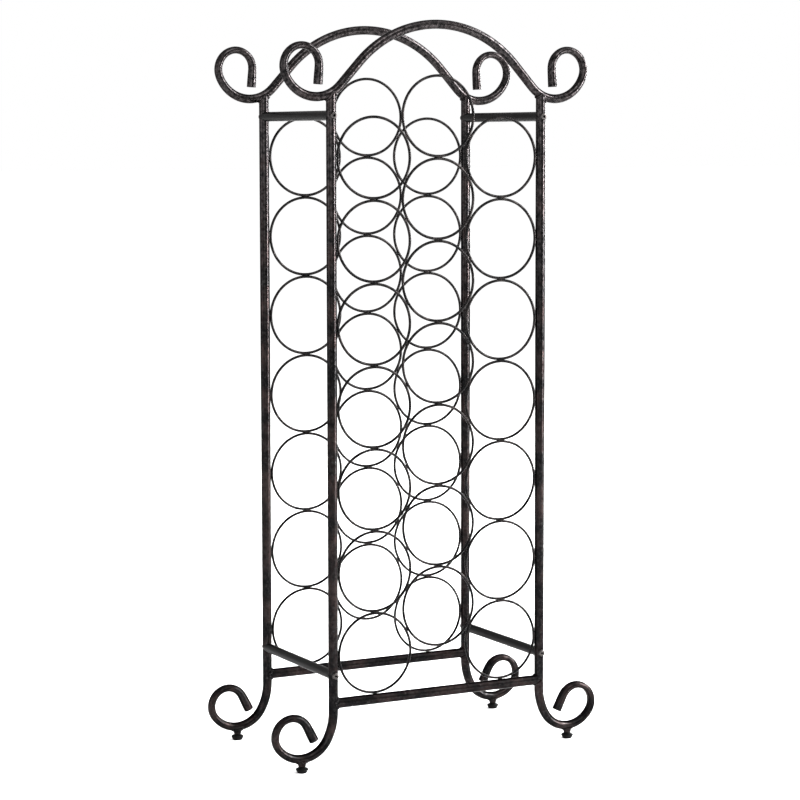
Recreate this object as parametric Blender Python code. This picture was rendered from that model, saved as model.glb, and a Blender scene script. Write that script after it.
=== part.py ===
"""Wine rack for 21 bottles: two panels of wire rings between scrolled tube posts, joined by four tie bars.

Frame: X to the right, Y to the back, Z up. The origin is on the floor under the middle of the rack.
Each panel is a plane at Y = +-PANEL_Y. Its rings are packed like a honeycomb, so the middle column
sits half a ring higher than the outer two, and the columns are sqrt(3)/2 of a ring apart.
"""

import math

import bmesh
import bpy
import numpy as np

# ---- Driving dimensions, in metres ----------------------------------------------------------------
GAP = 0.0003  # clearance kept between pieces that touch
RING_OUTSIDE = 0.1070  # outside diameter of a wire ring
WIRE = 0.0036
WELD_SINK = 0.0005  # how far two rings of one column sink into each other at their weld
RINGS_PER_COLUMN = 7
POST = 0.0130
ARCH = 0.0120
RAIL = 0.0135
TIE_BAR = 0.0126
WALL = 0.0012  # of every tube
PANEL_Y = 0.1019  # from the middle of the rack to each panel
RAIL_Z = 0.0850
TIE_BAR_Z = {"lower": 0.1221, "upper": 0.8377}
ARCH_TOP_Z = 0.9550  # centre-line of the arch at its crown

# Bends of a post below its upright, outwards and round: (radius, degrees, thickness left in the bend).
# A run of straight tube has the radius 0 and its length in place of the angle.
FOOT_START_Z = 0.0739
FOOT_BENDS = [
    (0.0720, 29.0, 0.96),
    (0.0410, 113.5, 0.92),
    (0.0236, 190.5, 0.70),
    (0, 0.0215, 1.0),
]
# Bends of half an arch from its crown, on the right. The first one turns down, the others turn up.
CROWN_RADIUS = 0.1542
CROWN_DEGREES = 47.4
ARCH_BENDS = [
    (0, 0.0398, 0.98),
    (0.0461, 114.8, 0.98),
    (0.0259, 99.6, 0.82),
    (0.0235, 106.8, 0.76),
    (0, 0.0235, 1.0),
]
BEND_STEP = 18.0  # degrees between two stations of a bend
SPREAD = 0.35  # part of a bend's lost thickness that comes back as width

SCREW = 0.0050
SCREW_LENGTH = 0.0250
HEAD = 0.0090
HEAD_HEIGHT = 0.0028
SOCKET = 0.0035
SOCKET_DEPTH = 0.0016
INSERT_LENGTH = 0.0120

STUD = 0.0060
STUD_TOP_Z = 0.0205
STUD_BOTTOM_Z = 0.0024
PAD = 0.0165
PAD_HEIGHT = 0.0072
PAD_NECK = 0.0086
BOSS_TOP = 0.0136
BOSS_BOTTOM = 0.0104
BOSS_BOTTOM_Z = 0.0086
PLUG_LENGTH = 0.0030

TUBE_SIDES = 8
RING_SIDES = 24  # corners of a ring, a multiple of 12 so that rings touch corner to corner
WIRE_SIDES = 4
SCREW_SIDES = 12
PAD_SIDES = 10

# ---- Dimensions that follow -----------------------------------------------------------------------
RING_PITCH = RING_OUTSIDE - WELD_SINK
COLUMN_X = math.sqrt((RING_OUTSIDE + GAP) ** 2 - (RING_PITCH / 2) ** 2)
POST_X = COLUMN_X + RING_OUTSIDE / 2 + GAP + POST / 2
FIRST_RING_Z = RAIL_Z + RAIL / 2 + GAP + RING_OUTSIDE / 2
PAD_NECK_TOP_Z = BOSS_BOTTOM_Z - GAP
SIDES = {"left": -1, "right": 1}
ENDS = {"front": -1, "back": 1}


def clear_scene():
    for thing in list(bpy.data.objects):
        bpy.data.objects.remove(thing, do_unlink=True)


def make_material(name, color, roughness, metallic):
    material = bpy.data.materials.new(name)
    material.use_nodes = True
    shader = material.node_tree.nodes["Principled BSDF"]
    shader.inputs["Base Color"].default_value = (*color, 1.0)
    shader.inputs["Roughness"].default_value = roughness
    shader.inputs["Metallic"].default_value = metallic
    return material


def make_object(name, rings, material, place=(0, 0, 0), looped=False):
    """A closed solid from rings of corners, each ring joined to the next one.

    rings is a list of lists of points, all as long. looped joins the last ring to the first, as for a
    hoop, or for a tube whose outside and inside follow each other. Otherwise the ends get flat caps.
    """
    shape = bmesh.new()
    rows = [[shape.verts.new(point) for point in ring] for ring in rings]
    pairs = list(zip(rows, rows[1:]))
    if looped:
        pairs.append((rows[-1], rows[0]))
    for row, following in pairs:
        for i in range(len(row)):
            j = (i + 1) % len(row)
            shape.faces.new((row[i], row[j], following[j], following[i]))
    if not looped:
        shape.faces.new(rows[0])
        shape.faces.new(rows[-1])
    bmesh.ops.recalc_face_normals(shape, faces=shape.faces)
    mesh = bpy.data.meshes.new(name)
    shape.to_mesh(mesh)
    shape.free()
    mesh.shade_smooth()
    mesh.set_sharp_from_angle(angle=math.radians(50))
    thing = bpy.data.objects.new(name, mesh)
    thing.location = place
    thing.data.materials.append(material)
    bpy.context.collection.objects.link(thing)
    return thing


def turned(name, profile, sides, axis, material, place):
    """A solid turned about an axis ("Y", "-Y" or "Z") from (radius, distance, hexagonal) steps."""
    rings = []
    for radius, along, hexagonal in profile:
        ring = []
        for i in range(sides):
            turn = 2 * math.pi * i / sides
            reach = radius * math.cos(math.pi / 6) if hexagonal and i % 2 else radius
            across, up = reach * math.cos(turn), reach * math.sin(turn)
            if axis == "Z":
                ring.append((across, up, along))
            elif axis == "Y":
                ring.append((across, along, up))
            else:
                ring.append((across, -along, up))
        rings.append(ring)
    return make_object(name, rings, material, place)


def cut(thing, cutter):
    """Takes the cutter's shape out of a piece. The cutter stays as a hidden guide."""
    cutter.hide_render = True
    cutter.display_type = "WIRE"
    boolean = thing.modifiers.new("cut_" + cutter.name, "BOOLEAN")
    boolean.operation = "DIFFERENCE"
    boolean.solver = "EXACT"
    boolean.object = cutter


def bent_path(start, heading, bends):
    """Stations along a bent tube in the XZ plane, each (x, z, normal x, normal z, thickness).

    Each bend turns to the left of the heading by its angle, or to the right where its radius is
    negative. The thickness is each bend's own at its middle, and runs evenly from one to the next.
    """
    x, z = start
    stations = [(x, z, heading)]
    along, middles, parts = [0.0], [0.0], [1.0]
    for radius, amount, part in bends:
        if radius == 0:
            x, z = x + amount * math.cos(heading), z + amount * math.sin(heading)
            stations.append((x, z, heading))
            along.append(along[-1] + amount)
            middles.append(along[-1] - amount * 0.3)
        else:
            steps = max(2, round(amount / BEND_STEP))
            turn = math.copysign(math.radians(amount) / steps, radius)
            chord = 2 * abs(radius) * math.sin(abs(turn) / 2)
            length = abs(radius) * math.radians(amount)
            middles.append(along[-1] + length / 2)
            for _ in range(steps):
                x += chord * math.cos(heading + turn / 2)
                z += chord * math.sin(heading + turn / 2)
                heading += turn
                stations.append((x, z, heading))
                along.append(along[-1] + length / steps)
        parts.append(part)
    thickness = np.interp(along, middles, parts)
    return [(x, z, -math.sin(h), math.cos(h), t) for (x, z, h), t in zip(stations, thickness)]


def tube_rings(path, diameter, mitre=0.0):
    """Rings of corners round a path, outside first and then the inside back again.

    mitre is the slope of the first ring's plane, as a rise along the path for each metre across it.
    """
    outside, inside = [], []
    for number, (x, z, normal_x, normal_z, part) in enumerate(path):
        slope = mitre if number == 0 else 0.0
        for rings, wall in ((outside, 0.0), (inside, WALL)):
            half_thick = diameter / 2 * part - wall
            half_wide = diameter / 2 * (1 + SPREAD * (1 - part)) - wall
            ring = []
            for i in range(TUBE_SIDES):
                turn = 2 * math.pi * i / TUBE_SIDES
                across = half_thick * math.cos(turn)
                rise = slope * across
                ring.append((
                    x + normal_x * across + normal_z * rise,
                    half_wide * math.sin(turn),
                    z + normal_z * across - normal_x * rise,
                ))
            rings.append(ring)
    return outside + inside[::-1]


def coped_rings(radius, post_distance, axis):
    """A straight tube between two posts, with its ends cut to fit round them.

    The tube lies along "X" or "Y" through the origin, and the posts' axes are post_distance away.
    """
    seat = POST / 2 + 2 * GAP
    rings = []
    for side, reach in ((-1, radius), (1, radius), (1, radius - WALL), (-1, radius - WALL)):
        ring = []
        for i in range(TUBE_SIDES):
            turn = 2 * math.pi * i / TUBE_SIDES
            across, up = reach * math.cos(turn), reach * math.sin(turn)
            along = side * (post_distance - math.sqrt(seat**2 - across**2))
            ring.append((along, across, up) if axis == "X" else (across, along, up))
        rings.append(ring)
    return rings


def foot_path():
    return bent_path((0, FOOT_START_Z), -math.pi / 2, FOOT_BENDS)


def arch_half_path():
    crown = (-CROWN_RADIUS, CROWN_DEGREES, 0.98)
    return bent_path((0, ARCH_TOP_Z), 0.0, [crown, *ARCH_BENDS])


def arch_over_post():
    """The height of the arch's centre-line over a post, its slope there and its half thickness."""
    path = arch_half_path()
    for before, after in zip(path, path[1:]):
        if before[0] <= POST_X < after[0]:
            part = (POST_X - before[0]) / (after[0] - before[0])
            slope = (after[1] - before[1]) / (after[0] - before[0])
            return before[1] + part * (after[1] - before[1]), slope, ARCH / 2 * before[4]
    raise ValueError("the arch doesn't reach the posts")


def mirrored(rings, side):
    return [[(side * x, y, z) for x, y, z in ring] for ring in rings]


def lowest_of_foot():
    """How far out from the post the foot scroll is lowest, and its underside's height there.

    The tube runs level where its second bend's centre is straight above it.
    """
    (first, degrees, _), (second, _, part) = FOOT_BENDS[:2]
    turned_so_far = math.radians(degrees)
    reach = first - (first - second) * math.cos(turned_so_far)
    height = FOOT_START_Z - (first - second) * math.sin(turned_so_far) - second
    return reach, height - POST / 2 * part


def make_post(end, side, material):
    """An upright with its foot scroll, cut off at the top to the slope of the arch."""
    arch_z, slope, half_arch = arch_over_post()
    top_z = arch_z - (half_arch + GAP) * math.hypot(1, slope)
    top = (0.0, top_z, 1.0, 0.0, 1.0)
    rings = tube_rings([top, *foot_path()], POST, mitre=-slope)
    name = f"post_{end}_{side}"
    place = (SIDES[side] * POST_X, ENDS[end] * PANEL_Y, 0)
    post = make_object(name, mirrored(rings, SIDES[side]), material, place, looped=True)
    for level, height in TIE_BAR_Z.items():
        bore = [(SCREW / 2 + GAP, -POST, False), (SCREW / 2 + GAP, POST, False)]
        middle = (place[0], place[1], height)
        cut(post, turned(f"screw_hole_{level}_{end}_{side}", bore, TUBE_SIDES, "Y", material, middle))
    reach, underside = lowest_of_foot()
    bore = [(STUD / 2 + GAP, underside - WALL, False), (STUD / 2 + GAP, underside + 3 * WALL, False)]
    middle = (SIDES[side] * (POST_X + reach), place[1], 0)
    cut(post, turned(f"stud_hole_{end}_{side}", bore, TUBE_SIDES, "Z", material, middle))


def make_arch(end, material):
    half = arch_half_path()
    other_half = [(-x, z, -normal_x, normal_z, part) for x, z, normal_x, normal_z, part in half]
    path = other_half[:0:-1] + half
    place = (0, ENDS[end] * PANEL_Y, 0)
    make_object(f"arch_{end}", tube_rings(path, ARCH), material, place, looped=True)


def make_rail(end, material):
    rings = coped_rings(RAIL / 2, POST_X, "X")
    place = (0, ENDS[end] * PANEL_Y, RAIL_Z)
    make_object(f"bottom_rail_{end}", rings, material, place, looped=True)


def ring_corners(height):
    """The rings of corners that make a wire hoop standing in the XZ plane about the given height."""
    hoop = RING_OUTSIDE / 2 - WIRE / 2
    rings = []
    for i in range(RING_SIDES):
        turn = 2 * math.pi * i / RING_SIDES
        section = []
        for j in range(WIRE_SIDES):
            around = 2 * math.pi * j / WIRE_SIDES
            reach = hoop + WIRE / 2 * math.cos(around)
            y = WIRE / 2 * math.sin(around)
            section.append((reach * math.cos(turn), y, reach * math.sin(turn) + height))
        rings.append(section)
    return rings


def joined(name, members, material, place):
    """One object with the meshes of several rings that don't touch each other."""
    first, *others = members
    shape = bmesh.new()
    for member in members:
        shape.from_mesh(member.data)
    shape.to_mesh(first.data)
    shape.free()
    for other in others:
        bpy.data.objects.remove(other, do_unlink=True)
    first.name = name
    first.location = place
    return first


def make_ring_column(end, column, material):
    """Seven rings welded one on the next: every other one is joined to those between them."""
    across = {"left": -COLUMN_X, "middle": 0.0, "right": COLUMN_X}[column]
    raised = RING_PITCH / 2 if column == "middle" else 0.0
    place = (across, ENDS[end] * PANEL_Y, FIRST_RING_Z + raised)
    hoops = []
    for number in range(RINGS_PER_COLUMN):
        corners = ring_corners(number * RING_PITCH)
        hoops.append(make_object(f"hoop_{number}", corners, material, looped=True))
    name = f"rings_{end}_{column}"
    column_object = joined(name, hoops[0::2], material, place)
    between = joined(f"between_{end}_{column}", hoops[1::2], material, place)
    between.hide_render = True
    between.display_type = "WIRE"
    weld = column_object.modifiers.new("weld", "BOOLEAN")
    weld.operation = "UNION"
    weld.solver = "EXACT"
    weld.object = between


def make_tie_bar(level, side, material):
    rings = coped_rings(TIE_BAR / 2, PANEL_Y, "Y")
    place = (SIDES[side] * POST_X, 0, TIE_BAR_Z[level])
    make_object(f"tie_bar_{level}_{side}", rings, material, place, looped=True)


def make_insert(level, side, end, material):
    """A threaded plug in a tie bar's end, flush with the post."""
    outside = TIE_BAR / 2 - WALL - GAP
    bore = SCREW / 2 + GAP
    near = PANEL_Y - POST / 2 - 2 * GAP
    far = near - INSERT_LENGTH
    rings = []
    for radius, along in ((outside, near), (outside, far), (bore, far), (bore, near)):
        turns = [2 * math.pi * i / TUBE_SIDES for i in range(TUBE_SIDES)]
        y = ENDS[end] * along
        rings.append([(radius * math.cos(turn), y, radius * math.sin(turn)) for turn in turns])
    place = (SIDES[side] * POST_X, 0, TIE_BAR_Z[level])
    make_object(f"insert_{level}_{side}_{end}", rings, material, place, looped=True)


def make_screw(level, side, end, material):
    """A button-head screw with a hexagon socket. Its head bears on the outside of the post."""
    seat = POST / 2 + GAP
    profile = [
        (SCREW / 2, seat - SCREW_LENGTH, False),
        (SCREW / 2, seat, False),
        (HEAD / 2, seat, False),
        (HEAD / 2 * 0.94, seat + HEAD_HEIGHT * 0.45, False),
        (HEAD / 2 * 0.62, seat + HEAD_HEIGHT, False),
        (SOCKET / 2, seat + HEAD_HEIGHT, True),
        (SOCKET / 2, seat + HEAD_HEIGHT - SOCKET_DEPTH, True),
    ]
    place = (SIDES[side] * POST_X, ENDS[end] * PANEL_Y, TIE_BAR_Z[level])
    axis = "Y" if end == "back" else "-Y"
    turned(f"screw_{level}_{side}_{end}", profile, SCREW_SIDES, axis, material, place)


def make_boss(end, side, material):
    """The threaded boss welded under a foot scroll."""
    reach, underside = lowest_of_foot()
    top = underside - GAP
    bore = STUD / 2 + GAP
    steps = ((BOSS_BOTTOM / 2, BOSS_BOTTOM_Z), (BOSS_TOP / 2, top), (bore, top), (bore, BOSS_BOTTOM_Z))
    rings = []
    for radius, height in steps:
        turns = [2 * math.pi * i / PAD_SIDES for i in range(PAD_SIDES)]
        rings.append([(radius * math.cos(turn), radius * math.sin(turn), height) for turn in turns])
    place = (SIDES[side] * (POST_X + reach), ENDS[end] * PANEL_Y, 0)
    make_object(f"boss_{end}_{side}", rings, material, place, looped=True)


def make_foot(end, side, stud_material, pad_material):
    """A levelling foot: a threaded stud moulded into a round pad."""
    reach, _ = lowest_of_foot()
    place = (SIDES[side] * (POST_X + reach), ENDS[end] * PANEL_Y, 0)
    stud = [(STUD / 2, STUD_BOTTOM_Z, False), (STUD / 2, STUD_TOP_Z, False)]
    turned(f"foot_stud_{end}_{side}", stud, TUBE_SIDES, "Z", stud_material, place)
    bore = STUD / 2 + GAP
    pad = [
        (PAD / 2 * 0.74, 0, False),
        (PAD / 2 * 0.97, PAD_HEIGHT * 0.46, False),
        (PAD / 2, PAD_HEIGHT * 0.62, False),
        (PAD / 2 * 0.95, PAD_HEIGHT * 0.82, False),
        (PAD / 2 * 0.74, PAD_HEIGHT, False),
        (PAD_NECK / 2, PAD_HEIGHT, False),
        (PAD_NECK / 2 * 0.94, PAD_NECK_TOP_Z, False),
        (bore, PAD_NECK_TOP_Z, False),
        (bore, STUD_BOTTOM_Z - GAP, False),
    ]
    turned(f"foot_pad_{end}_{side}", pad, PAD_SIDES, "Z", pad_material, place)


def make_plug(name, path, diameter, side, place, material):
    """A plug that closes the free end of a scroll, flush with it."""
    x, z, normal_x, normal_z, part = path[-1]
    half_thick = diameter / 2 * part - WALL - GAP
    half_wide = diameter / 2 * (1 + SPREAD * (1 - part)) - WALL - GAP
    rings = []
    for back in (PLUG_LENGTH, 0.0):
        ring = []
        for i in range(TUBE_SIDES):
            turn = 2 * math.pi * i / TUBE_SIDES
            across = half_thick * math.cos(turn)
            ring.append((
                side * (x + normal_x * across - normal_z * back),
                half_wide * math.sin(turn),
                z + normal_z * across + normal_x * back,
            ))
        rings.append(ring)
    make_object(name, rings, material, place)


def main():
    clear_scene()
    coat = make_material("bronze_black_coat", (0.022, 0.018, 0.017), 0.36, 0.55)
    wire_coat = make_material("black_wire_coat", (0.014, 0.013, 0.013), 0.34, 0.4)
    black_steel = make_material("blackened_screw_steel", (0.02, 0.02, 0.021), 0.38, 0.8)
    zinc = make_material("zinc_plated_steel", (0.55, 0.55, 0.53), 0.35, 1.0)
    plastic = make_material("black_plastic", (0.012, 0.012, 0.012), 0.5, 0.0)
    for end in ENDS:
        make_arch(end, coat)
        make_rail(end, coat)
        for column in ("left", "middle", "right"):
            make_ring_column(end, column, wire_coat)
        for side, sign in SIDES.items():
            make_post(end, side, coat)
            make_boss(end, side, coat)
            make_foot(end, side, zinc, plastic)
            place = (sign * POST_X, ENDS[end] * PANEL_Y, 0)
            make_plug(f"foot_plug_{end}_{side}", foot_path(), POST, sign, place, plastic)
            place = (0, ENDS[end] * PANEL_Y, 0)
            make_plug(f"arch_plug_{end}_{side}", arch_half_path(), ARCH, sign, place, plastic)
    for level in TIE_BAR_Z:
        for side in SIDES:
            make_tie_bar(level, side, coat)
            for end in ENDS:
                make_insert(level, side, end, zinc)
                make_screw(level, side, end, black_steel)


main()
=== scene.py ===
"""Looks of the wine rack: smooth bent tubes, wire rings, welds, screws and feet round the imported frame.

X runs to the right, Y to the back and Z up, in metres. Every new surface is a grid of rows: each row is
a closed outline, and the rows follow one another along a path or down a turned profile.
"""

import math

import bpy
import numpy as np
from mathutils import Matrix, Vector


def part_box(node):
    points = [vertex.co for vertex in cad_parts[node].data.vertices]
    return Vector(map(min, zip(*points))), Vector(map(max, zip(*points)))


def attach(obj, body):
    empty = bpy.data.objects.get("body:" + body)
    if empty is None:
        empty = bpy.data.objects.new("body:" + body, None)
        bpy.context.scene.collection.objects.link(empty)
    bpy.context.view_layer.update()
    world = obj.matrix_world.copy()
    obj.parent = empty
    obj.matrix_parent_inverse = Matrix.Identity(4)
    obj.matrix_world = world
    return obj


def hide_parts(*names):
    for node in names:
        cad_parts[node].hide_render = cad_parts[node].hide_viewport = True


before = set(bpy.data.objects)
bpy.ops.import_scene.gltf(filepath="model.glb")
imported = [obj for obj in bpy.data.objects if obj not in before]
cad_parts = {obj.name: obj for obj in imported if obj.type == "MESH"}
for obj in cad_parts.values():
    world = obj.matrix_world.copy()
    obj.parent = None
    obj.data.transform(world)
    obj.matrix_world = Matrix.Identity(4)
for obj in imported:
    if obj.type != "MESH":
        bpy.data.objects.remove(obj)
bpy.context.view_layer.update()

SIDES = {"left": -1, "right": 1}
ENDS = {"front": -1, "back": 1}
LEVELS = ("lower", "upper")
COLUMNS = ("left", "middle", "right")
RINGS_PER_COLUMN = 7
ACROSS = np.array([0.0, 1.0, 0.0])

# ---- Tube sizes and bends, in metres and degrees ---------------------------------------------------
POST = 0.0130
ARCH = 0.0120
WALL = 0.0012
SPREAD = 0.35  # part of a bend's lost thickness that comes back as width
# Each bend is (radius, degrees, part of the thickness left). A negative radius bends the other way. A
# straight run is (0, length, part).
FOOT_START_Z = 0.0739
FOOT_BENDS = [
    (0.0720, 29.0, 0.96),
    (0.0410, 113.5, 0.92),
    (0.0236, 190.5, 0.70),
    (0, 0.0215, 1.0),
]
ARCH_TOP_Z = 0.9550
ARCH_BENDS = [
    (-0.1542, 47.4, 0.98),
    (0, 0.0398, 0.98),
    (0.0461, 114.8, 0.98),
    (0.0259, 99.6, 0.82),
    (0.0235, 106.8, 0.76),
    (0, 0.0235, 1.0),
]
STATION = 0.0018  # distance between rows along a bent tube
EASE = 0.004  # a bend starts and ends over twice this length
ROUND_TIP = 0.3  # part of a tube's last run that is fully round again
COPE_DEPTH = 0.004  # how far below a post's fitted top edge its level outlines start
PLUG_GAP = 0.00005  # between a plug and the bore that it sits in
UPRIGHT_ROWS = 9
TUBE_SIDES = 48
WIRE_SIDES = 14
HOOP_ROWS = 120

# ---- Welds, in metres and radians --------------------------------------------------------------------
POST_BEAD = 0.0017
RAIL_BEAD = 0.0016
BOSS_BEAD = 0.0010
BEAD_SIDES = 12
RAIL_BEAD_ROWS = 96
TOUCHING = 1.05  # rings touch if their centres are within this many outside diameters
SEAM_SWELL = 0.05  # how much thicker a ring's wire is at its butt weld
SEAM_ANGLE = 0.035
NUGGET_ROWS = 9
NUGGET_SIDES = 10

# ---- Places and sizes read from the frame -----------------------------------------------------------


def middle_of(node):
    """The middle of a node's box: half the sum of its lowest and highest corners."""
    low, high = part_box(node)
    return (np.array(low) + np.array(high)) / 2


def size_of(node):
    """The lengths of a node's box along X, Y and Z."""
    low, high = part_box(node)
    return np.array(high) - np.array(low)


panel_y = middle_of("rings_back_middle")[1]
post_x = middle_of("tie_bar_upper_right")[0]
foot_x = middle_of("foot_pad_back_right")[0]
rail_z = middle_of("bottom_rail_back")[2]
rail = size_of("bottom_rail_back")[2]
tie_bar = size_of("tie_bar_upper_right")[0]
ring_outside, wire, column_height = size_of("rings_back_middle")
ring_pitch = (column_height - ring_outside) / (RINGS_PER_COLUMN - 1)
tie_bar_z = {level: middle_of(f"tie_bar_{level}_right")[2] for level in LEVELS}


# ---- Surfaces ---------------------------------------------------------------------------------------
def skin(rows, looped=False):
    """A closed surface through rows of points, (points, faces), with its faces turned outwards.

    rows[i, j] is point j of outline i. Neighbouring outlines are joined by quads. looped joins the last
    outline to the first. Otherwise each end is closed by a fan to the middle of its outline. The signed
    volume, a sixth of the sum of a . (b x c) over all the triangles, tells whether to turn the faces.
    """
    count, sides = rows.shape[:2]
    number = np.arange(count * sides).reshape(count, sides)
    onward = np.roll(number, -1, axis=1)
    upper = np.roll(number, -1, axis=0) if looped else number[1:]
    upper_onward = np.roll(onward, -1, axis=0) if looped else onward[1:]
    lower = number if looped else number[:-1]
    lower_onward = onward if looped else onward[:-1]
    quads = np.stack([lower, lower_onward, upper_onward, upper], axis=-1).reshape(-1, 4)
    points = rows.reshape(-1, 3)
    fans = np.zeros((0, 3), int)
    if not looped:
        first, last = len(points), len(points) + 1
        points = np.vstack([points, rows[0].mean(axis=0), rows[-1].mean(axis=0)])
        start = np.stack([onward[0], number[0], np.full(sides, first)], axis=-1)
        finish = np.stack([number[-1], onward[-1], np.full(sides, last)], axis=-1)
        fans = np.vstack([start, finish])
    triangles = np.vstack([quads[:, :3], quads[:, [0, 2, 3]], fans])
    a, b, c = (points[triangles[:, corner]] for corner in range(3))
    volume = np.einsum("ij,ij->i", a, np.cross(b, c)).sum() / 6
    if volume < 0:
        quads, fans = quads[:, ::-1], fans[:, ::-1]
    return points, quads.tolist() + fans.tolist()


def piece(name, shells, material, slot, body, *nodes, crease=40.0):
    """One object from closed surfaces. It rides on a body and stands for the CAD nodes named."""
    points, faces, count = [], [], 0
    for shell_points, shell_faces in shells:
        points.append(shell_points)
        faces += [[corner + count for corner in face] for face in shell_faces]
        count += len(shell_points)
    mesh = bpy.data.meshes.new(name)
    mesh.from_pydata(np.vstack(points).tolist(), [], faces)
    mesh.shade_smooth()
    mesh.set_sharp_from_angle(angle=math.radians(crease))
    mesh.materials.append(material)
    thing = bpy.data.objects.new(name, mesh)
    bpy.context.collection.objects.link(thing)
    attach(thing, body)
    if nodes:
        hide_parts(*nodes)
    return thing


def turns(count):
    """Angles spaced evenly round one full turn."""
    return np.linspace(0, 2 * math.pi, count, endpoint=False)


def turned(profile, place, direction=(0, 0, 1), sides=48, corners=None):
    """Rows of a shape turned about an axis: at each (radius, distance) step a circle round the axis.

    direction is the axis. corners holds, for each step, how much of a hexagon it is, from 0 to 1: a
    hexagon's edge is its corner radius times cos 30 over cos of the angle from the middle of the flat.
    """
    axis = np.array(direction, float)
    side = np.array([1.0, 0, 0]) if abs(axis[0]) < 0.5 else np.array([0, 1.0, 0])
    other = np.cross(axis, side)
    profile = np.array(profile, float)
    around = turns(sides)
    flat = np.mod(around, math.pi / 3) - math.pi / 6
    hexagon = math.cos(math.pi / 6) / np.cos(flat)
    blend = np.zeros(len(profile)) if corners is None else np.array(corners, float)
    reach = profile[:, :1] * (1 + blend[:, None] * (hexagon - 1))
    circle = np.cos(around)[:, None] * side + np.sin(around)[:, None] * other
    return np.array(place) + profile[:, 1, None, None] * axis + reach[..., None] * circle


def bent_path(start, heading, bends, straight=0.0):
    """Stations along a tube bent in the XZ plane: points, normals, tangents and the thickness left.

    The curvature is one over the radius in each bend, and changes evenly over a short ease between two
    bends. Its sum along the tube is the heading, and the heading's cosine and sine sum to the points.
    straight is the length of plain tube before the first bend.
    """
    runs = [(0, straight, 1.0), *bends] if straight else list(bends)
    lengths = np.array([
        abs(radius) * math.radians(amount) if radius else amount
        for radius, amount, _ in runs
    ])
    bending = np.array([1 / radius if radius else 0.0 for radius, _, _ in runs])
    ends = np.cumsum(lengths)
    fine_from = max(straight - EASE, 0.0)
    fine = np.linspace(fine_from, ends[-1], round((ends[-1] - fine_from) / STATION))
    along = np.union1d(np.linspace(0, fine_from, UPRIGHT_ROWS), fine) if straight else fine
    joints = ends[:-1]
    knots = np.sort(np.concatenate([[0, ends[-1]], joints - EASE, joints + EASE]))
    curvature = np.interp(along, knots, np.repeat(bending, 2))
    step = np.diff(along)
    headings = heading + np.concatenate([[0], np.cumsum(step * (curvature[1:] + curvature[:-1]) / 2)])
    between = (headings[1:] + headings[:-1]) / 2
    x = start[0] + np.concatenate([[0], np.cumsum(step * np.cos(between))])
    z = start[1] + np.concatenate([[0], np.cumsum(step * np.sin(between))])
    middles = ends - lengths / 2
    middles[-1] = ends[-1] - lengths[-1] * ROUND_TIP
    thickness = np.interp(along, middles, [part for _, _, part in runs])
    level = np.zeros_like(x)
    points = np.stack([x, level, z], axis=-1)
    normals = np.stack([-np.sin(headings), level, np.cos(headings)], axis=-1)
    tangents = np.stack([np.cos(headings), level, np.sin(headings)], axis=-1)
    return points, normals, tangents, thickness


def outline(points, normals, thickness, diameter, shrink=0.0):
    """Oval outlines round a path: flattened across the bend, and wider along Y by part of what it lost."""
    around = turns(TUBE_SIDES)
    thick = diameter / 2 * thickness - shrink
    wide = diameter / 2 * (1 + SPREAD * (1 - thickness)) - shrink
    across = (thick[:, None] * np.cos(around))[..., None] * normals[:, None, :]
    return points[:, None, :] + across + (wide[:, None] * np.sin(around))[..., None] * ACROSS


# How a cut end of tube is rounded over and goes back down its bore: (distance back, wall taken off)
CUT_END = [
    (0.0006, 0.0),
    (0.0002, 0.00008),
    (0.0, 0.0004),
    (0.0, WALL - 0.0002),
    (0.0003, WALL),
    (0.0060, WALL),
]


def cut_end(path, diameter):
    """The rows that finish the last end of a path as a square-cut tube with a short bore."""
    points, normals, tangents, thickness = (values[-1:] for values in path)
    rows = [outline(points - tangents * back, normals, thickness, diameter, off) for back, off in CUT_END]
    return np.concatenate(rows)


def swept_ring(curve, outwards, radius):
    """A closed bead along a closed curve: circles of the given radius square to the curve."""
    forward = np.roll(curve, -1, axis=0) - np.roll(curve, 1, axis=0)
    forward /= np.linalg.norm(forward, axis=1, keepdims=True)
    aside = np.cross(forward, outwards)
    aside /= np.linalg.norm(aside, axis=1, keepdims=True)
    out = np.cross(aside, forward)
    around = turns(BEAD_SIDES)
    cosine, sine = np.cos(around)[None, :, None], np.sin(around)[None, :, None]
    ring = cosine * out[:, None, :] + sine * aside[:, None, :]
    return curve[:, None, :] + radius[:, None, None] * ring


def mirror(values, side):
    """Points with X turned over for side -1, and as they are for side 1."""
    return values * np.array([side, 1, 1])


# ---- Materials --------------------------------------------------------------------------------------
# A mix node's colour sockets go by number, because its number sockets have the same names
MIX_UNDER, MIX_OVER, MIX_RESULT = 6, 7, 2
NOISE_LOW, NOISE_HIGH = 0.3, 0.7  # the range that most of a noise pattern lies in


def new_material(name, metallic, specular, edge=1.0):
    """A material, its nodes, its shader and the object's own coordinates.

    edge is how bright the surface stays where it is seen nearly edge on.
    """
    material = bpy.data.materials.new(name)
    material.use_nodes = True
    tree = material.node_tree
    shader = tree.nodes["Principled BSDF"]
    shader.inputs["Metallic"].default_value = metallic
    shader.inputs["Specular IOR Level"].default_value = specular
    shader.inputs["Specular Tint"].default_value = (edge, edge, edge, 1.0)
    place = tree.nodes.new("ShaderNodeTexCoord").outputs["Object"]
    return material, tree, shader, place


def noise(tree, place, scale, detail=2.0, rough=0.5):
    """A cloudy pattern from 0 to 1 on the object's own coordinates, with scale cells to the metre."""
    node = tree.nodes.new("ShaderNodeTexNoise")
    node.inputs["Scale"].default_value = scale
    node.inputs["Detail"].default_value = detail
    node.inputs["Roughness"].default_value = rough
    tree.links.new(place, node.inputs["Vector"])
    return node.outputs["Fac"]


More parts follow.
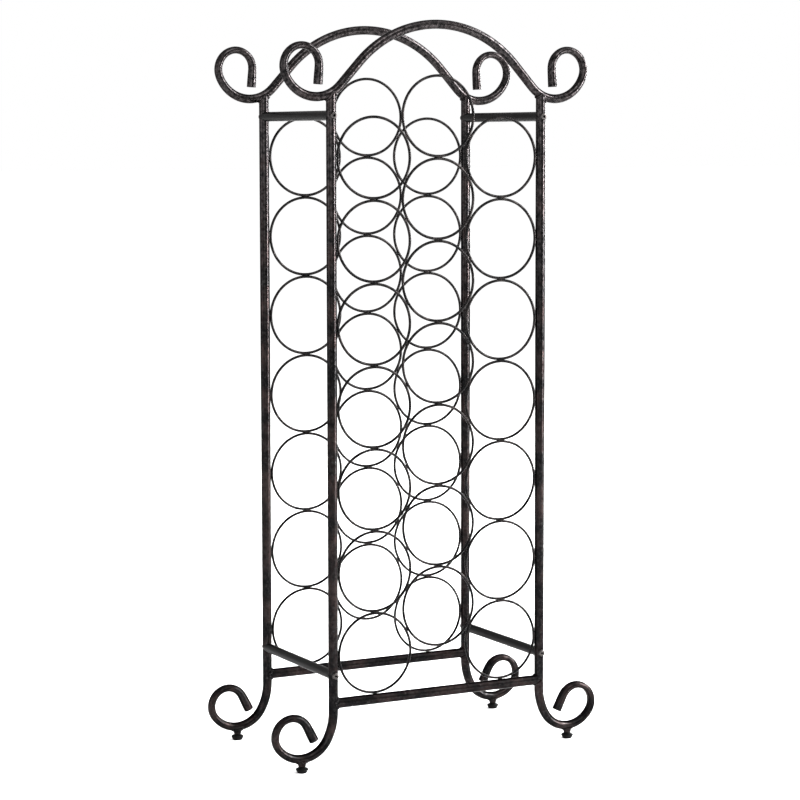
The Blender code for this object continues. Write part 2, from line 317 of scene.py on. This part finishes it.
def ramp(tree, source, stops):
    """A colour read off (position, colour) stops at the source's value, evenly blended between stops."""
    node = tree.nodes.new("ShaderNodeValToRGB")
    elements = node.color_ramp.elements
    while len(elements) < len(stops):
        elements.new(0.5)
    for element, (position, color) in zip(elements, stops):
        element.position = position
        element.color = (*color, 1.0)
    tree.links.new(source, node.inputs["Fac"])
    return node.outputs["Color"]


def spread(tree, source, low, high):
    """A pattern's usual range stretched evenly to run from low to high."""
    node = tree.nodes.new("ShaderNodeMapRange")
    node.inputs["From Min"].default_value = NOISE_LOW
    node.inputs["From Max"].default_value = NOISE_HIGH
    node.inputs["To Min"].default_value = low
    node.inputs["To Max"].default_value = high
    tree.links.new(source, node.inputs["Value"])
    return node.outputs["Result"]


def height_share(tree, place, low, high, most):
    """A share that rises evenly from 0 at the height low to most at the height high."""
    parts = tree.nodes.new("ShaderNodeSeparateXYZ")
    tree.links.new(place, parts.inputs["Vector"])
    node = tree.nodes.new("ShaderNodeMapRange")
    node.inputs["From Min"].default_value = low
    node.inputs["From Max"].default_value = high
    node.inputs["To Max"].default_value = most
    tree.links.new(parts.outputs["Z"], node.inputs["Value"])
    return node.outputs["Result"]


def bump(tree, shader, height, distance, strength):
    """Fine relief on a surface: the height pattern times a distance in metres, at part strength."""
    node = tree.nodes.new("ShaderNodeBump")
    node.inputs["Strength"].default_value = strength
    node.inputs["Distance"].default_value = distance
    tree.links.new(height, node.inputs["Height"])
    tree.links.new(node.outputs["Normal"], shader.inputs["Normal"])


def blended(tree, share, under, over):
    """One colour over another, by a share from 0 to 1."""
    node = tree.nodes.new("ShaderNodeMix")
    node.data_type = "RGBA"
    tree.links.new(share, node.inputs["Factor"])
    tree.links.new(under, node.inputs[MIX_UNDER])
    tree.links.new(over, node.inputs[MIX_OVER])
    return node.outputs[MIX_RESULT]


def bronze_black_coat():
    """Near-black bronze coat: red-brown clouds, a grey speckle and an orange-peel surface.

    From a little over half the rack's height it turns paler and greyer, up to the crown: a painted sheen
    standing in for the broad light that falls on the upper tubes.
    """
    material, tree, shader, place = new_material("bronze_black_coat_finish", 1.0, 0.5, 0.5)
    clouds = noise(tree, place, 30.0, 4.0, 0.62)
    body = ramp(tree, clouds, [(0.44, (0.0040, 0.0039, 0.0041)), (0.64, (0.0205, 0.0143, 0.0136))])
    speckle = noise(tree, place, 230.0, 3.0, 0.6)
    grey = ramp(tree, speckle, [(0.40, (0.0020, 0.0020, 0.0022)), (0.64, (0.0215, 0.0204, 0.0206))])
    fleck = ramp(tree, noise(tree, place, 420.0, 3.0, 0.65), [(0.42, (0, 0, 0)), (0.66, (1, 1, 1))])
    coat = blended(tree, fleck, body, grey)
    # painted sheen: the upper tubes get a paler, greyer colour in place of the broad light from above
    pale = ramp(tree, speckle, [(0.38, (0.006, 0.006, 0.0063)), (0.66, (0.042, 0.0375, 0.0380))])
    painted_sheen_from, painted_sheen_to, painted_sheen_most = 0.55, 0.98, 0.8
    coat = blended(tree, height_share(tree, place, painted_sheen_from, painted_sheen_to, painted_sheen_most), coat, pale)
    tree.links.new(coat, shader.inputs["Base Color"])
    tree.links.new(spread(tree, noise(tree, place, 260.0, 2.0), 0.17, 0.28), shader.inputs["Roughness"])
    bump(tree, shader, noise(tree, place, 520.0, 2.0, 0.55), 0.00007, 0.7)
    return material


def plain_bar_coat():
    """The coat on the straight cross bars: satin, even and charcoal grey."""
    material, tree, shader, place = new_material("plain_bar_coat_finish", 1.0, 0.5, 0.66)
    clouds = noise(tree, place, 60.0, 3.0)
    body = ramp(tree, clouds, [(0.35, (0.0105, 0.0103, 0.0105)), (0.7, (0.0145, 0.0139, 0.0138))])
    tree.links.new(body, shader.inputs["Base Color"])
    tree.links.new(spread(tree, noise(tree, place, 700.0), 0.36, 0.46), shader.inputs["Roughness"])
    bump(tree, shader, noise(tree, place, 1100.0), 0.00004, 0.5)
    return material


def black_wire_coat():
    """The coat on the wire: blacker than the coat on the bent tubes, and a little less glossy."""
    material, tree, shader, place = new_material("black_wire_coat_finish", 1.0, 0.5, 0.5)
    clouds = noise(tree, place, 90.0, 3.0)
    body = ramp(tree, clouds, [(0.4, (0.0050, 0.0050, 0.0052)), (0.65, (0.0150, 0.0135, 0.0133))])
    tree.links.new(body, shader.inputs["Base Color"])
    tree.links.new(spread(tree, noise(tree, place, 500.0), 0.22, 0.36), shader.inputs["Roughness"])
    bump(tree, shader, noise(tree, place, 900.0), 0.00008, 0.6)
    return material


def blackened_steel():
    """Black oxide on screw steel: satin, with a faint brown unevenness."""
    material, tree, shader, place = new_material("blackened_screw_steel_finish", 1.0, 0.5, 0.3)
    clouds = noise(tree, place, 500.0)
    body = ramp(tree, clouds, [(0.35, (0.030, 0.029, 0.029)), (0.7, (0.075, 0.068, 0.065))])
    tree.links.new(body, shader.inputs["Base Color"])
    tree.links.new(spread(tree, noise(tree, place, 1500.0), 0.22, 0.36), shader.inputs["Roughness"])
    return material


def zinc_plate():
    """Bright zinc plate, slightly yellow, with a soft crystalline variation."""
    material, tree, shader, place = new_material("zinc_plate_finish", 1.0, 0.5)
    clouds = noise(tree, place, 700.0)
    body = ramp(tree, clouds, [(0.3, (0.42, 0.42, 0.40)), (0.7, (0.60, 0.60, 0.57))])
    tree.links.new(body, shader.inputs["Base Color"])
    tree.links.new(spread(tree, noise(tree, place, 1200.0), 0.25, 0.45), shader.inputs["Roughness"])
    return material


def black_plastic():
    """Moulded black plastic with a fine matt grain."""
    material, tree, shader, place = new_material("black_plastic_finish", 0.0, 0.3)
    shader.inputs["IOR"].default_value = 1.15
    grain = noise(tree, place, 400.0)
    body = ramp(tree, grain, [(0.3, (0.0010, 0.0010, 0.0010)), (0.7, (0.0022, 0.0022, 0.0022))])
    tree.links.new(body, shader.inputs["Base Color"])
    tree.links.new(spread(tree, noise(tree, place, 2000.0), 0.42, 0.6), shader.inputs["Roughness"])
    bump(tree, shader, noise(tree, place, 2500.0), 0.00004, 0.6)
    return material


def studio_floor():
    """A plain pale floor, matt, with the faintest slow change of tone."""
    material, tree, shader, place = new_material("pale_floor", 0.0, 0.0)
    shader.inputs["Roughness"].default_value = 0.8
    tint = ramp(tree, noise(tree, place, 0.6), [(0.3, (0.80, 0.80, 0.80)), (0.7, (0.82, 0.82, 0.82))])
    tree.links.new(tint, shader.inputs["Base Color"])
    return material


# ---- Tubes ------------------------------------------------------------------------------------------
def arch_half():
    """Stations along the right half of an arch, from the middle of the crown to the scroll's tip."""
    return bent_path((0, ARCH_TOP_Z), 0.0, ARCH_BENDS)


def arch_underside(x, y):
    """The height of an arch's underside: its centre-line less the oval's half height at y, up a slope.

    Beyond the arch's width it is the height of the centre-line itself.
    """
    points, _, _, thickness = arch_half()
    rising = slice(0, int(np.argmax(points[:, 0])))
    height = np.interp(x, points[rising, 0], points[rising, 2])
    part = np.interp(x, points[rising, 0], thickness[rising])
    near = 0.0005
    slope = (np.interp(x + near, points[rising, 0], points[rising, 2]) - height) / near
    wide = ARCH / 2 * (1 + SPREAD * (1 - part))
    depth = ARCH / 2 * part * np.sqrt(np.clip(1 - (y / wide) ** 2, 0, 1))
    return height - depth * np.sqrt(1 + slope**2)


def post_top_curve():
    """Where a post's wall meets the arch: a circle of the post's size, each point up to the underside."""
    around = turns(TUBE_SIDES)
    x, y = POST / 2 * np.cos(around), POST / 2 * np.sin(around)
    return np.stack([x, y, arch_underside(post_x + x, y)], axis=-1), around


def scroll_post(end, side, material, plug_material):
    """An upright coped to the arch, bent outwards at the floor and rolled up to a square-cut tip."""
    curve, _ = post_top_curve()
    top_z = curve[:, 2].min() - COPE_DEPTH
    path = bent_path((0, top_z), -math.pi / 2, FOOT_BENDS, straight=top_z - FOOT_START_Z)
    rows = outline(*path[:2], path[3], POST)
    rows = np.concatenate([curve[None], rows, cut_end(path, POST)])
    place = np.array([SIDES[side] * post_x, ENDS[end] * panel_y, 0])
    shell = skin(mirror(rows, SIDES[side]) + place)
    piece(f"scroll_post_{end}_{side}", [shell], material, "bronze_black_coat", "root", f"post_{end}_{side}")
    plug = mirror(end_plug(path, POST), SIDES[side]) + place
    name = f"end_cap_foot_{end}_{side}"
    piece(name, [skin(plug)], plug_material, "black_plastic", "root", f"foot_plug_{end}_{side}")


# A plug's face and skirt: (distance back from the tube's end, distance in from the bore's wall)
PLUG_STEPS = [(0.0035, 0.0), (0.0011, 0.0), (0.0007, 0.0003), (0.0006, 0.0008), (0.0007, 0.0030)]


def end_plug(path, diameter):
    """A plug just inside a tube's end: ovals that fill the bore, with a softened face."""
    points, normals, tangents, thickness = (values[-1:] for values in path)
    bore = WALL + PLUG_GAP
    rows = [
        outline(points - tangents * back, normals, thickness, diameter, bore + off)
        for back, off in PLUG_STEPS
    ]
    return np.concatenate(rows)


def top_arch(end, material, plug_material):
    """Both halves of an arch in one tube, from one scroll's tip over the crown to the other's."""
    half = arch_half()
    flip = np.array([-1, 1, 1])
    body = outline(*half[:2], half[3], ARCH)
    tip = cut_end(half, ARCH)
    right = np.concatenate([body, tip])
    rows = np.concatenate([(right * flip)[:0:-1], right])
    place = np.array([0, ENDS[end] * panel_y, 0])
    piece(f"top_arch_{end}", [skin(rows + place)], material, "bronze_black_coat", "root", f"arch_{end}")
    for side, sign in SIDES.items():
        plug = mirror(end_plug(half, ARCH), sign) + place
        name = f"end_cap_arch_{end}_{side}"
        piece(name, [skin(plug)], plug_material, "black_plastic", "root", f"arch_plug_{end}_{side}")


def coped_bar(diameter, post_distance, along_x):
    """A straight open tube whose ends fit round two posts.

    Every line along its wall ends where it meets the post's circle, sqrt(R^2 - across^2) short of the
    post's axis.
    """
    around = turns(TUBE_SIDES)
    outside, inside = diameter / 2, diameter / 2 - WALL
    rows = []
    for side, radius in ((-1, outside), (1, outside), (1, inside), (-1, inside)):
        across, up = radius * np.cos(around), radius * np.sin(around)
        reach = side * (post_distance - np.sqrt(np.clip((POST / 2) ** 2 - across**2, 0, None)))
        rows.append(np.stack([reach, across, up] if along_x else [across, reach, up], axis=-1))
    return np.array(rows)


def lower_rail(end, material):
    """The tube along X between a panel's two posts, under the lowest rings."""
    rows = coped_bar(rail, post_x, True) + np.array([0, ENDS[end] * panel_y, rail_z])
    shell = skin(rows, looped=True)
    piece(f"lower_rail_{end}", [shell], material, "bronze_black_coat", "root", f"bottom_rail_{end}")


def cross_bar(level, side, material):
    """The tube along Y that holds the front and back posts of one side apart."""
    rows = coped_bar(tie_bar, panel_y, False) + np.array([SIDES[side] * post_x, 0, tie_bar_z[level]])
    shell = skin(rows, looped=True)
    name, node = f"cross_bar_{level}_{side}", f"tie_bar_{level}_{side}"
    piece(name, [shell], material, "bronze_black_coat", "root", node)


# ---- Rings ------------------------------------------------------------------------------------------
def hoop(centre):
    """One wire ring: a circle of wire, slightly thicker where its two ends are butt-welded at the foot."""
    angle = turns(HOOP_ROWS)
    away = np.angle(np.exp(1j * (angle + math.pi / 2)))
    radius = wire / 2 * (1 + SEAM_SWELL * np.exp(-((away / SEAM_ANGLE) ** 2)))
    outwards = np.stack([np.cos(angle), np.zeros_like(angle), np.sin(angle)], axis=-1)
    line = centre + (ring_outside - wire) / 2 * outwards
    around = turns(WIRE_SIDES)
    section = np.cos(around)[None, :, None] * outwards[:, None, :] + np.sin(around)[None, :, None] * ACROSS
    return skin(line[:, None, :] + radius[:, None, None] * section, looped=True)


def ring_centres(end, column):
    """The centres of a column's rings, lowest first: half a ring up, then one pitch after another."""
    low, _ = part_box(f"rings_{end}_{column}")
    middle = middle_of(f"rings_{end}_{column}")
    heights = low[2] + ring_outside / 2 + ring_pitch * np.arange(RINGS_PER_COLUMN)
    return [np.array([middle[0], middle[1], height]) for height in heights]


def ring_column(end, column, material):
    """One column of seven rings, each touching the next."""
    shells = [hoop(centre) for centre in ring_centres(end, column)]
    name = f"ring_column_{end}_{column}"
    piece(name, shells, material, "black_wire_coat", "root", f"rings_{end}_{column}")


def nugget(centre, direction, length=0.0030, thick=0.0011, wide=0.0013):
    """A small lens of weld metal lying along a contact: an ellipsoid, long across the line of centres."""
    down = np.linspace(0, math.pi, NUGGET_ROWS)[1:-1]
    around = turns(NUGGET_SIDES)
    along = np.array([-direction[2], 0, direction[0]])
    ring = thick * np.cos(around)[:, None] * direction + wide * np.sin(around)[:, None] * ACROSS
    return skin(centre + length * np.cos(down)[:, None, None] * along + np.sin(down)[:, None, None] * ring)


def spot_welds(end, material):
    """Weld metal wherever two rings touch, and where a ring touches a post or the lower rail."""
    shells = []
    columns = {column: ring_centres(end, column) for column in COLUMNS}
    flat = [centre for centres in columns.values() for centre in centres]
    for number, first in enumerate(flat):
        for second in flat[number + 1:]:
            gap = np.linalg.norm(second - first)
            if gap < ring_outside * TOUCHING:
                shells.append(nugget((first + second) / 2, (second - first) / gap))
    radius = ring_outside / 2
    for column, sign in SIDES.items():
        for centre in columns[column]:
            aside = np.array([sign, 0.0, 0.0])
            shells.append(nugget(centre + aside * radius, aside))
        lowest_point = columns[column][0] - np.array([0, 0, radius])
        shells.append(nugget(lowest_point, np.array([0.0, 0, -1])))
    piece(f"spot_welds_{end}", shells, material, "black_wire_coat", "root")


# ---- Weld beads -------------------------------------------------------------------------------------
def ripples(around, size, phase):
    """A bead's radius round its curve: even beads laid one on the next, with slow uneven swells."""
    laid = 0.10 * np.abs(np.sin(9 * around + phase))
    swell = 0.12 * np.sin(2 * around + phase) + 0.07 * np.sin(5 * around + 2 * phase)
    return size * (0.95 + laid + swell)


def weld_beads(end, material):
    """The beads round the tops of a panel's posts, under the arch, and round its lower rail's ends."""
    shells = []
    fine = turns(RAIL_BEAD_ROWS)
    for sign in SIDES.values():
        curve, around = post_top_curve()
        out = np.stack([np.cos(around), np.sin(around), np.full_like(around, -0.5)], axis=-1)
        bead = swept_ring(curve, out, ripples(around, POST_BEAD, 1.0 + sign))
        post_axis = np.array([sign * post_x, ENDS[end] * panel_y, 0])
        shells.append(skin(mirror(bead, sign) + post_axis, looped=True))
        y, z = rail / 2 * np.cos(fine), rail / 2 * np.sin(fine)
        x = -np.sqrt(np.clip((POST / 2) ** 2 - y**2, 0, None))
        curve = np.stack([x, y, z], axis=-1)
        out = np.stack([np.full_like(y, -0.6), np.cos(fine), np.sin(fine)], axis=-1)
        bead = swept_ring(curve, out, ripples(fine, RAIL_BEAD, 2.0 - sign))
        rail_end = np.array([sign * post_x, ENDS[end] * panel_y, rail_z])
        shells.append(skin(mirror(bead, sign) + rail_end, looped=True))
    piece(f"weld_beads_{end}", shells, material, "bronze_black_coat", "root")


# ---- Fasteners --------------------------------------------------------------------------------------
def button_screw(level, side, end, material):
    """A domed button head with a hexagon socket on a plain shank, turned about the screw's axis.

    The dome's height is the sine of a quarter turn. Its radius shrinks with a power of the way along it,
    to 0.58 of the head's.
    """
    node = f"screw_{level}_{side}_{end}"
    size = size_of(node)
    head, seat = size[0] / 2, POST / 2
    tall = abs(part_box(node)[1 if end == "back" else 0][1]) - panel_y - seat
    tip = seat + tall - size[1]
    shank, socket, deep = head * 0.55, head * 0.40, tall * 0.95
    rim = 0.0005
    domed = [
        (head * (1 - 0.42 * part**1.9), seat + rim + (tall - rim) * math.sin(part * math.pi / 2))
        for part in np.linspace(0, 1, 8)
    ]
    profile = [(shank * 0.85, tip), (shank, tip + 0.0005), (shank, seat), (head - 0.0002, seat)]
    profile += [(head, seat + 0.0002), *domed]
    face = seat + tall
    profile += [(socket + 0.0002, face), (socket, face - 0.0002), (socket, face - deep)]
    profile += [(socket * 0.3, face - deep - 0.0012)]
    corners = [0] * (len(profile) - 4) + [0.6, 1, 1, 0]
    place = (SIDES[side] * post_x, ENDS[end] * panel_y, tie_bar_z[level])
    rows = turned(profile, place, (0, ENDS[end], 0), 48, corners)
    name = f"button_screw_{level}_{side}_{end}"
    piece(name, [skin(rows)], material, "blackened_screw_steel", "root", node, crease=35.0)


def threaded_plug(level, side, end, material):
    """The insert in a cross bar's end: a ring of steel with a chamfered, grooved bore.

    The grooves are a zigzag of the bore's radius over every four steps along it.
    """
    node = f"insert_{level}_{side}_{end}"
    size, middle = size_of(node), middle_of(node)
    outside, bore, half = size[0] / 2, size[0] / 2 * 0.58, size[1] / 2
    edge, mouth, thread_steps = 0.0003, 0.0004, 41
    inner = np.linspace(half - mouth, -half + mouth, thread_steps)
    thread = bore + 0.0002 * np.abs(np.mod(np.arange(thread_steps), 4) - 2) / 2
    profile = [(outside - edge, -half), (outside, -half + edge), (outside, half - edge)]
    profile += [(outside - edge, half), (bore + mouth, half)]
    profile += [*zip(thread, inner), (bore + mouth, -half)]
    rows = turned(profile, middle, (0, 1, 0), 32)
    name = f"threaded_plug_{level}_{side}_{end}"
    piece(name, [skin(rows, looped=True)], material, "zinc_plated_steel", "root", node)


# ---- Levelling feet ---------------------------------------------------------------------------------
def scroll_underside(x, y):
    """The height of a foot scroll's underside: its centre-line less the oval's half height at y.

    The value under the root is kept at 0.3 or more, so that the edge doesn't run up the tube's side.
    """
    points, _, _, thickness = bent_path((post_x, FOOT_START_Z), -math.pi / 2, FOOT_BENDS)
    outward = slice(0, int(np.argmax(points[:, 0])))
    height = np.interp(x, points[outward, 0], points[outward, 2])
    part = np.interp(x, points[outward, 0], thickness[outward])
    wide = POST / 2 * (1 + SPREAD * (1 - part))
    return height - POST / 2 * part * np.sqrt(np.clip(1 - (y / wide) ** 2, 0.3, 1))


def weld_boss(end, side, material):
    """The boss under a scroll: a waisted turning whose top is fitted to the tube, and its weld bead.

    Its radius grows from 0.76 of the full one at the base as a power of the way up to the tube.
    """
    node = f"boss_{end}_{side}"
    low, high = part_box(node)
    broad = (high[0] - low[0]) / 2
    around = turns(TUBE_SIDES)
    bore, base = 0.0033, low[2]
    rise = np.linspace(0, 1, 9)
    radii = broad * (0.76 + 0.24 * rise**2.2)
    circle = np.stack([np.cos(around), np.sin(around), np.zeros_like(around)], axis=-1)
    rim = scroll_underside(foot_x + broad * np.cos(around), broad * np.sin(around))
    upwards = np.array([0, 0, 1])
    wall = [
        circle * radius + upwards * (base + (rim - base) * part)[:, None]
        for radius, part in zip(radii, rise)
    ]
    inner = scroll_underside(foot_x + bore * np.cos(around), bore * np.sin(around))
    rows = [circle * (bore + 0.0003) + [0, 0, base], circle * (broad * 0.72) + [0, 0, base], *wall]
    rows += [circle * bore + upwards * inner[:, None], circle * bore + [0, 0, base + 0.0003]]
    place = np.array([SIDES[side] * foot_x, ENDS[end] * panel_y, 0])
    boss = skin(mirror(np.array(rows), SIDES[side]) + place, looped=True)
    curve = circle * broad + upwards * rim[:, None]
    bead = swept_ring(curve, circle + [0, 0, -0.3], ripples(around, BOSS_BEAD, 0.6))
    weld = skin(mirror(bead, SIDES[side]) + place, looped=True)
    piece(f"weld_boss_{end}_{side}", [boss, weld], material, "bronze_black_coat", "root", node)


def threaded_stud(end, side, material):
    """A stud with a real thread: the radius dips with the distance to the nearest turn of the helix."""
    node = f"foot_stud_{end}_{side}"
    low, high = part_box(node)
    pitch, depth, radius = 0.0010, 0.00055, (high[0] - low[0]) / 2
    sides, rows_per_turn = 32, 8
    around = turns(sides)
    heights = np.arange(low[2], high[2], pitch / rows_per_turn)
    phase = np.mod(heights[:, None] / pitch - around[None, :] / (2 * math.pi), 1)
    dip = depth * (1 - np.abs(2 * phase - 1))
    taper = np.clip((high[2] - heights) / 0.0012, 0.55, 1)[:, None]
    reach = np.minimum(radius - dip, radius * taper)
    circle = np.stack([np.cos(around), np.sin(around)], axis=-1)
    flat = reach[..., None] * circle
    tall = np.broadcast_to(heights[:, None, None], (len(heights), sides, 1))
    place = np.array([SIDES[side] * foot_x, ENDS[end] * panel_y, 0])
    rows = np.concatenate([flat, tall], axis=-1) + place
    name = f"threaded_stud_{end}_{side}"
    piece(name, [skin(rows)], material, "zinc_plated_steel", f"foot_{end}_{side}", node)


def levelling_pad(end, side, material):
    """A moulded pad, turned: a flat sole, a sloping lower side, a rounded rim and a neck round the stud."""
    node = f"foot_pad_{end}_{side}"
    low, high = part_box(node)
    radius, top = (high[0] - low[0]) / 2, high[2]
    corner = np.linspace(-0.9, 1.25, 8)
    soft, rim_z = 0.0014, 0.0046
    rim = [(radius - soft + soft * math.cos(angle), rim_z + soft * math.sin(angle)) for angle in corner]
    profile = [(radius * 0.40, 0.0006), (radius * 0.46, 0.0), (radius * 0.70, 0.0), (radius * 0.74, 0.0003)]
    profile += [*rim, (radius * 0.66, 0.0069), (0.0049, 0.0073), (0.0044, 0.0077)]
    profile += [(0.0042, top - 0.0003), (0.0039, top), (0.0031, top), (0.0031, 0.0025)]
    place = (SIDES[side] * foot_x, ENDS[end] * panel_y, 0)
    name = f"levelling_pad_{end}_{side}"
    shell = skin(turned(profile, place))
    piece(name, [shell], material, "black_plastic", f"foot_{end}_{side}", node, crease=50.0)


# ---- Studio -----------------------------------------------------------------------------------------
def area_light(name, azimuth, elevation, distance, size, watts, aim=(0, 0, 0.5)):
    """A soft box at an azimuth and elevation round the rack, facing it. Azimuth 0 is straight in front."""
    turn, lift = math.radians(azimuth), math.radians(elevation)
    offset = np.array([math.sin(turn) * math.cos(lift), -math.cos(turn) * math.cos(lift), math.sin(lift)])
    light = bpy.data.lights.new(name, "AREA")
    light.shape = "RECTANGLE"
    light.size, light.size_y = size
    light.energy = watts
    lamp = bpy.data.objects.new(name, light)
    lamp.location = np.array(aim) + distance * offset
    lamp.rotation_euler = (math.pi / 2 - lift, 0, turn)
    bpy.context.collection.objects.link(lamp)


# Soft boxes: name, azimuth and elevation in degrees, distance, (width, height), watts
SOFT_BOXES = [
    ("strip_right", 50, 1.5, 4.2, (0.32, 1.4), 330),
    ("key_upper_right", 58, 27, 4.2, (1.3, 1.5), 400),
    ("side_right", 92, 16, 4.2, (0.5, 1.1), 260),
    ("strip_upper_right", 92, 43, 4.2, (0.4, 1.4), 130),
    ("rim_back_right", 120, 8, 4.2, (0.5, 1.2), 170),
    ("broad_left", -92, 10, 4.2, (3.2, 2.4), 65),
    ("broad_front", -32, 14, 4.6, (3.4, 2.4), 85),
    ("soft_box_high", -5, 54, 4.2, (1.8, 1.2), 72),
]


def studio():
    """A broad pale floor and an even white surround, lit by a soft sun and the soft boxes."""
    span = 60.0
    corners = [(-span, -span, 0), (span, -span, 0), (span, span, 0), (-span, span, 0)]
    mesh = bpy.data.meshes.new("studio_floor")
    mesh.from_pydata(corners, [], [(0, 1, 2, 3)])
    mesh.materials.append(studio_floor())
    floor = bpy.data.objects.new("studio_floor", mesh)
    bpy.context.collection.objects.link(floor)
    world = bpy.data.worlds.new("studio")
    world.use_nodes = True
    sky = world.node_tree.nodes["Background"]
    sky.inputs["Color"].default_value = (1.0, 1.0, 1.0, 1.0)
    sky.inputs["Strength"].default_value = 1.0
    bpy.context.scene.world = world
    sun = bpy.data.lights.new("broad_overhead", "SUN")
    sun.energy = 1.0
    sun.angle = math.radians(50)
    lamp = bpy.data.objects.new("broad_overhead", sun)
    lamp.rotation_euler = (math.radians(20), math.radians(12), 0)
    bpy.context.collection.objects.link(lamp)
    for box in SOFT_BOXES:
        area_light(*box)


def camera():
    """A long lens from the front left, above the rack's middle and pitched down 5 degrees."""
    data = bpy.data.cameras.new("camera")
    data.lens = 112.69
    data.sensor_width = 36.0
    data.shift_x = -0.05
    data.shift_y = -0.05
    eye = bpy.data.objects.new("camera", data)
    eye.location = (-1.5419, -2.9536, 0.8057)
    eye.rotation_euler = (math.radians(90 - 5.0), 0, math.radians(-28.44))
    bpy.context.collection.objects.link(eye)
    bpy.context.scene.camera = eye
    bpy.context.scene.view_settings.view_transform = "Standard"


camera()
studio()
coat = bronze_black_coat()
bar_coat = plain_bar_coat()
wire_coat = black_wire_coat()
screw_steel = blackened_steel()
zinc = zinc_plate()
plastic = black_plastic()
for end in ENDS:
    top_arch(end, coat, plastic)
    lower_rail(end, coat)
    weld_beads(end, coat)
    spot_welds(end, wire_coat)
    for column in COLUMNS:
        ring_column(end, column, wire_coat)
    for side in SIDES:
        scroll_post(end, side, coat, plastic)
        weld_boss(end, side, coat)
        threaded_stud(end, side, zinc)
        levelling_pad(end, side, plastic)
for level in LEVELS:
    for side in SIDES:
        cross_bar(level, side, bar_coat)
        for end in ENDS:
            button_screw(level, side, end, screw_steel)
            threaded_plug(level, side, end, zinc)
